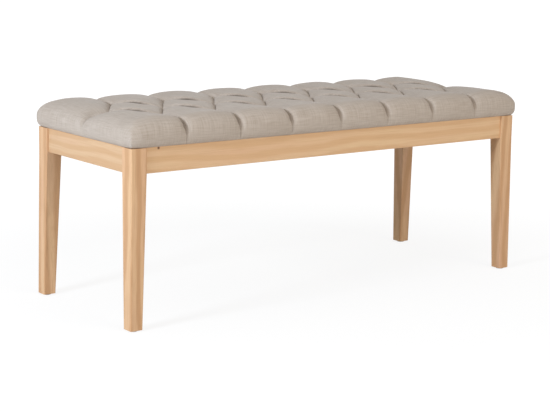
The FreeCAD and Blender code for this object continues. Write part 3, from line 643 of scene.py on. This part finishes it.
# The gap under a lap is too narrow to hold its shadow in the render, so the cloth is darker there.
lap_shadow = add(linen, "ShaderNodeAttribute", attribute_name="fold_shadow")
lap_tone = add(linen, "ShaderNodeMath", {0: lap_shadow.outputs["Fac"]}, {1: 0.85},
               operation="MULTIPLY")
shadowed = add(linen, "ShaderNodeMix", {"Factor": lap_tone.outputs[0], 6: woven.outputs[2]},
               {7: shade(FOLD_SHADOW_COLOUR)}, data_type="RGBA")
cloth_height = add(linen, "ShaderNodeMath",
                   {0: weave.outputs["Result"], 1: slub_tone.outputs["Result"]}, operation="ADD")
cloth_relief = add(linen, "ShaderNodeBump", {"Height": cloth_height.outputs[0]},
                   {"Strength": 0.35, "Distance": 0.3 * MM})
cloth_surface = add(linen, "ShaderNodeBsdfPrincipled",
                    {"Base Color": shadowed.outputs[2], "Normal": cloth_relief.outputs["Normal"]},
                    {"Roughness": 0.92, "Sheen Weight": 0.15, "Sheen Roughness": 0.5,
                     "Specular IOR Level": 0.2})
linen.node_tree.links.new(cloth_surface.outputs["BSDF"], output.inputs["Surface"])
finish_with(cover, linen)

# Floor: plain white studio paper, seamless to the horizon. The camera sees it nearly white, and
# near the bench a part of its own shading is kept, which holds the bench's soft shadow.
FLOOR_HALF = 30.0
PAPER_WHITE_SHARE = 0.78
PAPER_GLOW = 1.1
SHADOW_NEAR, SHADOW_FAR = 0.7, 2.2
mesh = bmesh.new()
bmesh.ops.create_grid(mesh, x_segments=1, y_segments=1, size=FLOOR_HALF)
data = bpy.data.meshes.new("studio_floor")
mesh.to_mesh(data)
mesh.free()
floor = bpy.data.objects.new("studio_floor", data)
bpy.context.collection.objects.link(floor)


def seen_directly(owner):
    """1 for a ray from the camera, off a gloss or through glass, and 0 for the light itself."""
    rays = add(owner, "ShaderNodeLightPath")
    plain = add(owner, "ShaderNodeMath", {0: rays.outputs["Is Camera Ray"],
                                          1: rays.outputs["Is Glossy Ray"]}, operation="MAXIMUM")
    return add(owner, "ShaderNodeMath", {0: plain.outputs[0], 1: rays.outputs["Is Transmission Ray"]},
               operation="MAXIMUM").outputs[0]


paper, output = new_material("seamless_white_paper")
paper_diffuse = add(paper, "ShaderNodeBsdfDiffuse", None, {"Color": (0.8, 0.8, 0.8, 1)})
paper_glow = add(paper, "ShaderNodeEmission", None,
                 {"Color": (1, 1, 1, 1), "Strength": PAPER_GLOW})
from_bench = add(paper, "ShaderNodeVectorMath",
                 {0: add(paper, "ShaderNodeTexCoord").outputs["Object"]}, operation="LENGTH")
whiter = add(paper, "ShaderNodeMapRange", {"Value": from_bench.outputs["Value"]},
             {"From Min": SHADOW_NEAR, "From Max": SHADOW_FAR,
              "To Min": PAPER_WHITE_SHARE, "To Max": 1.0})
paper_seen = add(paper, "ShaderNodeMixShader",
                 {"Fac": whiter.outputs["Result"], 1: paper_diffuse.outputs[0],
                  2: paper_glow.outputs[0]})
paper_mix = add(paper, "ShaderNodeMixShader",
                {"Fac": seen_directly(paper), 1: paper_diffuse.outputs[0], 2: paper_seen.outputs[0]})
paper.node_tree.links.new(paper_mix.outputs[0], output.inputs["Surface"])
finish_with(floor, paper)

# Studio light: a pale room all round, a small strong box low at the left end that throws the long
# shadows of the legs, a large soft one in front, and a weak one above.
ROOM_STRENGTH = 0.42
SOFT_BOXES = [
    ("left_soft_box", (-3.4, -0.6, 1.5), 0.7, 84.0, "#EAF3FF"),
    ("front_soft_box", (0.6, -3.8, 1.7), 2.6, 58.0, "#FFF6EA"),
    ("top_soft_box", (0.6, 0.8, 3.4), 3.0, 6.0, "#FFFFFF"),
]
LIT_POINT = Vector((0, 0, 0.35))
world = bpy.data.worlds.new("pale_studio")
bpy.context.scene.world = world
world.use_nodes = True
world.node_tree.nodes.clear()
world_out = add(world, "ShaderNodeOutputWorld")
room = add(world, "ShaderNodeBackground", None,
           {"Color": (1, 1, 1, 1), "Strength": ROOM_STRENGTH})
backdrop = add(world, "ShaderNodeBackground", None, {"Color": (1, 1, 1, 1), "Strength": 1.0})
world_mix = add(world, "ShaderNodeMixShader",
                {"Fac": seen_directly(world), 1: room.outputs[0], 2: backdrop.outputs[0]})
world.node_tree.links.new(world_mix.outputs[0], world_out.inputs["Surface"])
for name, place, width, power, tint in SOFT_BOXES:
    lamp = bpy.data.lights.new(name, "AREA")
    lamp.shape = "SQUARE"
    lamp.size = width
    lamp.energy = power
    lamp.color = shade(tint)[:3]
    holder = bpy.data.objects.new(name, lamp)
    holder.location = place
    holder.rotation_euler = (LIT_POINT - Vector(place)).to_track_quat("-Z", "Y").to_euler()
    bpy.context.collection.objects.link(holder)

# Camera: where the photograph was taken from, found from the corners of the legs and aprons. It
# looks 10.9 degrees down, 37 degrees off the front, and is turned about a degree.
EYE = Vector((-2.2925, -2.9940, 0.9147))
YAW, PITCH, ROLL = 0.6466, 0.1894, 0.0184
LENS = 99.6
SENSOR = 36.0
forward = Vector((math.cos(PITCH) * math.sin(YAW), math.cos(PITCH) * math.cos(YAW), -math.sin(PITCH)))
level_right = Vector((math.cos(YAW), -math.sin(YAW), 0))
level_up = level_right.cross(forward)
right = level_right * math.cos(ROLL) + level_up * math.sin(ROLL)
up = level_up * math.cos(ROLL) - level_right * math.sin(ROLL)
lens = bpy.data.cameras.new("photograph_view")
lens.lens = LENS
lens.sensor_width = SENSOR
lens.clip_end = 100.0
camera = bpy.data.objects.new("photograph_view", lens)
camera.matrix_world = Matrix((
    (right.x, up.x, -forward.x, EYE.x),
    (right.y, up.y, -forward.y, EYE.y),
    (right.z, up.z, -forward.z, EYE.z),
    (0, 0, 0, 1),
))
bpy.context.collection.objects.link(camera)
bpy.context.scene.camera = camera
bpy.context.scene.view_settings.view_transform = "Standard"
